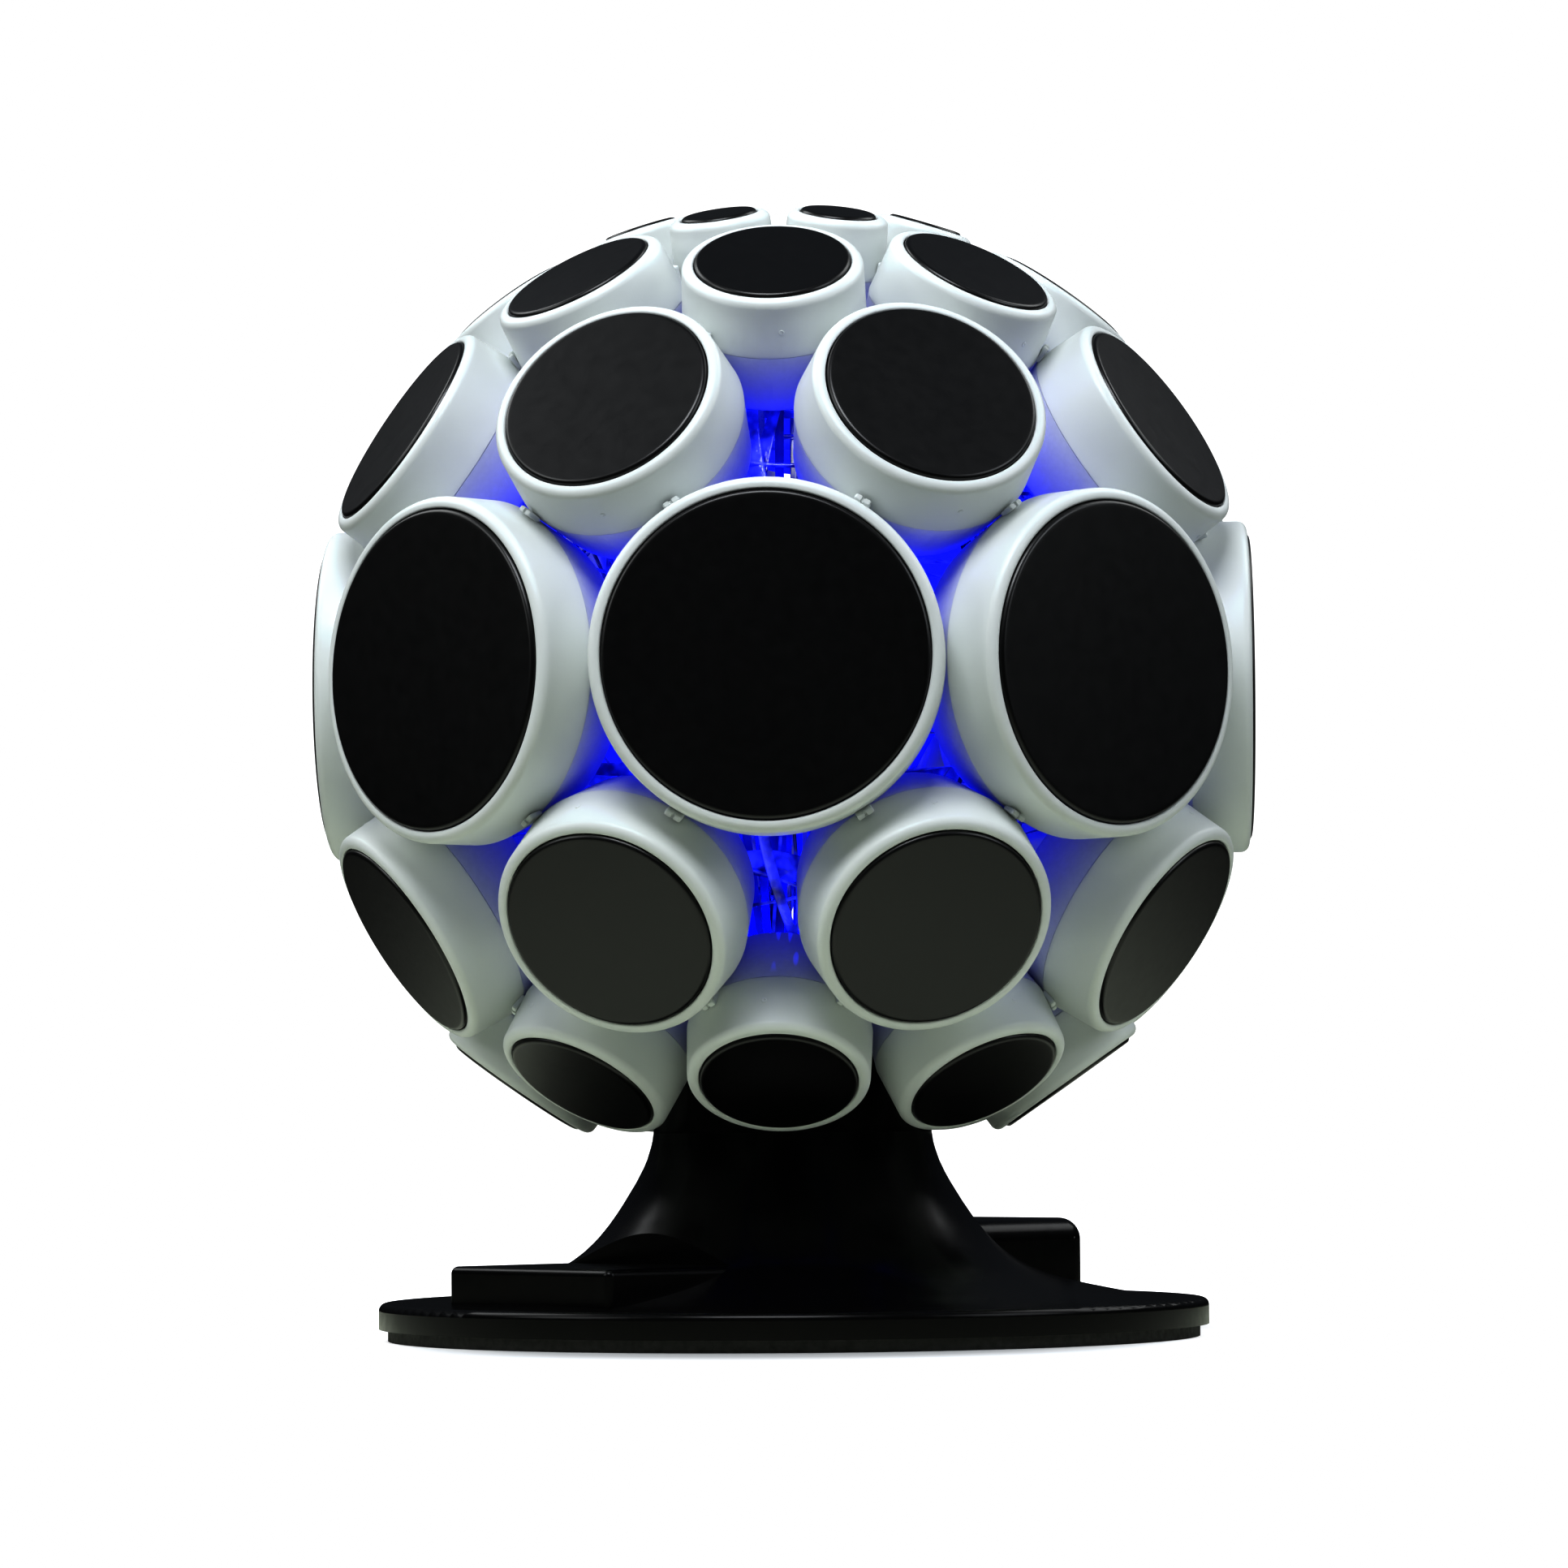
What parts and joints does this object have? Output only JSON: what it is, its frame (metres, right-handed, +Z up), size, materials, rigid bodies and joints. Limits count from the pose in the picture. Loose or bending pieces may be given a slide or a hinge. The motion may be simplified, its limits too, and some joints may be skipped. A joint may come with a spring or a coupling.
{
  "type": "spherical pad controller",
  "caption": "Table-top globe of round rubber drum pads in white conical cups, lit from inside, on a black trumpet pedestal; every pad presses in against its own membrane.",
  "frame": {"origin": "centre of the foot's flat underside", "axes": "+Z up through the pedestal and the globe; the front column of pads faces -Y"},
  "size_m": [0.254, 0.254, 0.3078],
  "materials": {
    "bezel": "fine matt off-white moulded plastic",
    "cup": "translucent off-white moulded plastic",
    "pad": "matt black rubber membrane",
    "board": "dark solder-masked circuit board",
    "lead": "clear flat flexible lead",
    "frame_plastic": "dark moulded plastic",
    "base": "satin black moulded plastic",
    "foot": "matt black plastic plate",
    "screw": "dark zinc-plated steel",
    "socket": "black plastic connector body"
  },
  "bodies": {
    "root": {"bezel_rings": "bezel", "pad_cups": "cup", "sensor_boards": "board", "cup_clips": "bezel", "flex_leads": "lead", "globe_frame": "frame_plastic", "junction_board": "board", "main_board": "board", "base_cover": "base", "foot_plate": "foot", "foot_screws": "screw", "port_sockets": "socket"},
    "pad_crown_1": {"pad_crown_1": "pad"},
    "pad_crown_2": {"pad_crown_2": "pad"},
    "pad_crown_3": {"pad_crown_3": "pad"},
    "pad_crown_4": {"pad_crown_4": "pad"},
    "pad_crown_5": {"pad_crown_5": "pad"},
    "pad_crown_6": {"pad_crown_6": "pad"},
    "pad_crown_7": {"pad_crown_7": "pad"},
    "pad_crown_8": {"pad_crown_8": "pad"},
    "pad_upper_1": {"pad_upper_1": "pad"},
    "pad_upper_2": {"pad_upper_2": "pad"},
    "pad_upper_3": {"pad_upper_3": "pad"},
    "pad_upper_4": {"pad_upper_4": "pad"},
    "pad_upper_5": {"pad_upper_5": "pad"},
    "pad_upper_6": {"pad_upper_6": "pad"},
    "pad_upper_7": {"pad_upper_7": "pad"},
    "pad_upper_8": {"pad_upper_8": "pad"},
    "pad_upper_mid_1": {"pad_upper_mid_1": "pad"},
    "pad_upper_mid_2": {"pad_upper_mid_2": "pad"},
    "pad_upper_mid_3": {"pad_upper_mid_3": "pad"},
    "pad_upper_mid_4": {"pad_upper_mid_4": "pad"},
    "pad_upper_mid_5": {"pad_upper_mid_5": "pad"},
    "pad_upper_mid_6": {"pad_upper_mid_6": "pad"},
    "pad_upper_mid_7": {"pad_upper_mid_7": "pad"},
    "pad_upper_mid_8": {"pad_upper_mid_8": "pad"},
    "pad_equator_1": {"pad_equator_1": "pad"},
    "pad_equator_2": {"pad_equator_2": "pad"},
    "pad_equator_3": {"pad_equator_3": "pad"},
    "pad_equator_4": {"pad_equator_4": "pad"},
    "pad_equator_5": {"pad_equator_5": "pad"},
    "pad_equator_6": {"pad_equator_6": "pad"},
    "pad_equator_7": {"pad_equator_7": "pad"},
    "pad_equator_8": {"pad_equator_8": "pad"},
    "pad_lower_mid_1": {"pad_lower_mid_1": "pad"},
    "pad_lower_mid_2": {"pad_lower_mid_2": "pad"},
    "pad_lower_mid_3": {"pad_lower_mid_3": "pad"},
    "pad_lower_mid_4": {"pad_lower_mid_4": "pad"},
    "pad_lower_mid_5": {"pad_lower_mid_5": "pad"},
    "pad_lower_mid_6": {"pad_lower_mid_6": "pad"},
    "pad_lower_mid_7": {"pad_lower_mid_7": "pad"},
    "pad_lower_mid_8": {"pad_lower_mid_8": "pad"},
    "pad_lower_1": {"pad_lower_1": "pad"},
    "pad_lower_2": {"pad_lower_2": "pad"},
    "pad_lower_3": {"pad_lower_3": "pad"},
    "pad_lower_4": {"pad_lower_4": "pad"},
    "pad_lower_5": {"pad_lower_5": "pad"},
    "pad_lower_6": {"pad_lower_6": "pad"},
    "pad_lower_7": {"pad_lower_7": "pad"},
    "pad_lower_8": {"pad_lower_8": "pad"}
  },
  "joints": [
    {"name": "pad_crown_1_press", "type": "slide", "parent": "root", "child": "pad_crown_1", "axis": [-0.1214, 0.2932, -0.9483], "range_m": [0, 0.0015], "stiffness_N_per_m": 900},
    {"name": "pad_crown_2_press", "type": "slide", "parent": "root", "child": "pad_crown_2", "axis": [-0.2932, 0.1214, -0.9483], "range_m": [0, 0.0015], "stiffness_N_per_m": 900},
    {"name": "pad_crown_3_press", "type": "slide", "parent": "root", "child": "pad_crown_3", "axis": [-0.2932, -0.1214, -0.9483], "range_m": [0, 0.0015], "stiffness_N_per_m": 900},
    {"name": "pad_crown_4_press", "type": "slide", "parent": "root", "child": "pad_crown_4", "axis": [-0.1214, -0.2932, -0.9483], "range_m": [0, 0.0015], "stiffness_N_per_m": 900},
    {"name": "pad_crown_5_press", "type": "slide", "parent": "root", "child": "pad_crown_5", "axis": [0.1214, -0.2932, -0.9483], "range_m": [0, 0.0015], "stiffness_N_per_m": 900},
    {"name": "pad_crown_6_press", "type": "slide", "parent": "root", "child": "pad_crown_6", "axis": [0.2932, -0.1214, -0.9483], "range_m": [0, 0.0015], "stiffness_N_per_m": 900},
    {"name": "pad_crown_7_press", "type": "slide", "parent": "root", "child": "pad_crown_7", "axis": [0.2932, 0.1214, -0.9483], "range_m": [0, 0.0015], "stiffness_N_per_m": 900},
    {"name": "pad_crown_8_press", "type": "slide", "parent": "root", "child": "pad_crown_8", "axis": [0.1214, 0.2932, -0.9483], "range_m": [0, 0.0015], "stiffness_N_per_m": 900},
    {"name": "pad_upper_1_press", "type": "slide", "parent": "root", "child": "pad_upper_1", "axis": [0, 0.5736, -0.8192], "range_m": [0, 0.003], "stiffness_N_per_m": 700},
    {"name": "pad_upper_2_press", "type": "slide", "parent": "root", "child": "pad_upper_2", "axis": [-0.4056, 0.4056, -0.8192], "range_m": [0, 0.003], "stiffness_N_per_m": 700},
    {"name": "pad_upper_3_press", "type": "slide", "parent": "root", "child": "pad_upper_3", "axis": [-0.5736, 0, -0.8192], "range_m": [0, 0.003], "stiffness_N_per_m": 700},
    {"name": "pad_upper_4_press", "type": "slide", "parent": "root", "child": "pad_upper_4", "axis": [-0.4056, -0.4056, -0.8192], "range_m": [0, 0.003], "stiffness_N_per_m": 700},
    {"name": "pad_upper_5_press", "type": "slide", "parent": "root", "child": "pad_upper_5", "axis": [0, -0.5736, -0.8192], "range_m": [0, 0.003], "stiffness_N_per_m": 700},
    {"name": "pad_upper_6_press", "type": "slide", "parent": "root", "child": "pad_upper_6", "axis": [0.4056, -0.4056, -0.8192], "range_m": [0, 0.003], "stiffness_N_per_m": 700},
    {"name": "pad_upper_7_press", "type": "slide", "parent": "root", "child": "pad_upper_7", "axis": [0.5736, 0, -0.8192], "range_m": [0, 0.003], "stiffness_N_per_m": 700},
    {"name": "pad_upper_8_press", "type": "slide", "parent": "root", "child": "pad_upper_8", "axis": [0.4056, 0.4056, -0.8192], "range_m": [0, 0.003], "stiffness_N_per_m": 700},
    {"name": "pad_upper_mid_1_press", "type": "slide", "parent": "root", "child": "pad_upper_mid_1", "axis": [-0.3245, 0.7835, -0.5299], "range_m": [0, 0.004], "stiffness_N_per_m": 550},
    {"name": "pad_upper_mid_2_press", "type": "slide", "parent": "root", "child": "pad_upper_mid_2", "axis": [-0.7835, 0.3245, -0.5299], "range_m": [0, 0.004], "stiffness_N_per_m": 550},
    {"name": "pad_upper_mid_3_press", "type": "slide", "parent": "root", "child": "pad_upper_mid_3", "axis": [-0.7835, -0.3245, -0.5299], "range_m": [0, 0.004], "stiffness_N_per_m": 550},
    {"name": "pad_upper_mid_4_press", "type": "slide", "parent": "root", "child": "pad_upper_mid_4", "axis": [-0.3245, -0.7835, -0.5299], "range_m": [0, 0.004], "stiffness_N_per_m": 550},
    {"name": "pad_upper_mid_5_press", "type": "slide", "parent": "root", "child": "pad_upper_mid_5", "axis": [0.3245, -0.7835, -0.5299], "range_m": [0, 0.004], "stiffness_N_per_m": 550},
    {"name": "pad_upper_mid_6_press", "type": "slide", "parent": "root", "child": "pad_upper_mid_6", "axis": [0.7835, -0.3245, -0.5299], "range_m": [0, 0.004], "stiffness_N_per_m": 550},
    {"name": "pad_upper_mid_7_press", "type": "slide", "parent": "root", "child": "pad_upper_mid_7", "axis": [0.7835, 0.3245, -0.5299], "range_m": [0, 0.004], "stiffness_N_per_m": 550},
    {"name": "pad_upper_mid_8_press", "type": "slide", "parent": "root", "child": "pad_upper_mid_8", "axis": [0.3245, 0.7835, -0.5299], "range_m": [0, 0.004], "stiffness_N_per_m": 550},
    {"name": "pad_equator_1_press", "type": "slide", "parent": "root", "child": "pad_equator_1", "axis": [0, 1, 0], "range_m": [0, 0.006], "stiffness_N_per_m": 400},
    {"name": "pad_equator_2_press", "type": "slide", "parent": "root", "child": "pad_equator_2", "axis": [-0.7071, 0.7071, 0], "range_m": [0, 0.006], "stiffness_N_per_m": 400},
    {"name": "pad_equator_3_press", "type": "slide", "parent": "root", "child": "pad_equator_3", "axis": [-1, 0, 0], "range_m": [0, 0.006], "stiffness_N_per_m": 400},
    {"name": "pad_equator_4_press", "type": "slide", "parent": "root", "child": "pad_equator_4", "axis": [-0.7071, -0.7071, 0], "range_m": [0, 0.006], "stiffness_N_per_m": 400},
    {"name": "pad_equator_5_press", "type": "slide", "parent": "root", "child": "pad_equator_5", "axis": [0, -1, 0], "range_m": [0, 0.006], "stiffness_N_per_m": 400},
    {"name": "pad_equator_6_press", "type": "slide", "parent": "root", "child": "pad_equator_6", "axis": [0.7071, -0.7071, 0], "range_m": [0, 0.006], "stiffness_N_per_m": 400},
    {"name": "pad_equator_7_press", "type": "slide", "parent": "root", "child": "pad_equator_7", "axis": [1, 0, 0], "range_m": [0, 0.006], "stiffness_N_per_m": 400},
    {"name": "pad_equator_8_press", "type": "slide", "parent": "root", "child": "pad_equator_8", "axis": [0.7071, 0.7071, 0], "range_m": [0, 0.006], "stiffness_N_per_m": 400},
    {"name": "pad_lower_mid_1_press", "type": "slide", "parent": "root", "child": "pad_lower_mid_1", "axis": [-0.3245, 0.7835, 0.5299], "range_m": [0, 0.004], "stiffness_N_per_m": 550},
    {"name": "pad_lower_mid_2_press", "type": "slide", "parent": "root", "child": "pad_lower_mid_2", "axis": [-0.7835, 0.3245, 0.5299], "range_m": [0, 0.004], "stiffness_N_per_m": 550},
    {"name": "pad_lower_mid_3_press", "type": "slide", "parent": "root", "child": "pad_lower_mid_3", "axis": [-0.7835, -0.3245, 0.5299], "range_m": [0, 0.004], "stiffness_N_per_m": 550},
    {"name": "pad_lower_mid_4_press", "type": "slide", "parent": "root", "child": "pad_lower_mid_4", "axis": [-0.3245, -0.7835, 0.5299], "range_m": [0, 0.004], "stiffness_N_per_m": 550},
    {"name": "pad_lower_mid_5_press", "type": "slide", "parent": "root", "child": "pad_lower_mid_5", "axis": [0.3245, -0.7835, 0.5299], "range_m": [0, 0.004], "stiffness_N_per_m": 550},
    {"name": "pad_lower_mid_6_press", "type": "slide", "parent": "root", "child": "pad_lower_mid_6", "axis": [0.7835, -0.3245, 0.5299], "range_m": [0, 0.004], "stiffness_N_per_m": 550},
    {"name": "pad_lower_mid_7_press", "type": "slide", "parent": "root", "child": "pad_lower_mid_7", "axis": [0.7835, 0.3245, 0.5299], "range_m": [0, 0.004], "stiffness_N_per_m": 550},
    {"name": "pad_lower_mid_8_press", "type": "slide", "parent": "root", "child": "pad_lower_mid_8", "axis": [0.3245, 0.7835, 0.5299], "range_m": [0, 0.004], "stiffness_N_per_m": 550},
    {"name": "pad_lower_1_press", "type": "slide", "parent": "root", "child": "pad_lower_1", "axis": [0, 0.5736, 0.8192], "range_m": [0, 0.003], "stiffness_N_per_m": 700},
    {"name": "pad_lower_2_press", "type": "slide", "parent": "root", "child": "pad_lower_2", "axis": [-0.4056, 0.4056, 0.8192], "range_m": [0, 0.003], "stiffness_N_per_m": 700},
    {"name": "pad_lower_3_press", "type": "slide", "parent": "root", "child": "pad_lower_3", "axis": [-0.5736, 0, 0.8192], "range_m": [0, 0.003], "stiffness_N_per_m": 700},
    {"name": "pad_lower_4_press", "type": "slide", "parent": "root", "child": "pad_lower_4", "axis": [-0.4056, -0.4056, 0.8192], "range_m": [0, 0.003], "stiffness_N_per_m": 700},
    {"name": "pad_lower_5_press", "type": "slide", "parent": "root", "child": "pad_lower_5", "axis": [0, -0.5736, 0.8192], "range_m": [0, 0.003], "stiffness_N_per_m": 700},
    {"name": "pad_lower_6_press", "type": "slide", "parent": "root", "child": "pad_lower_6", "axis": [0.4056, -0.4056, 0.8192], "range_m": [0, 0.003], "stiffness_N_per_m": 700},
    {"name": "pad_lower_7_press", "type": "slide", "parent": "root", "child": "pad_lower_7", "axis": [0.5736, 0, 0.8192], "range_m": [0, 0.003], "stiffness_N_per_m": 700},
    {"name": "pad_lower_8_press", "type": "slide", "parent": "root", "child": "pad_lower_8", "axis": [0.4056, 0.4056, 0.8192], "range_m": [0, 0.003], "stiffness_N_per_m": 700}
  ]
}
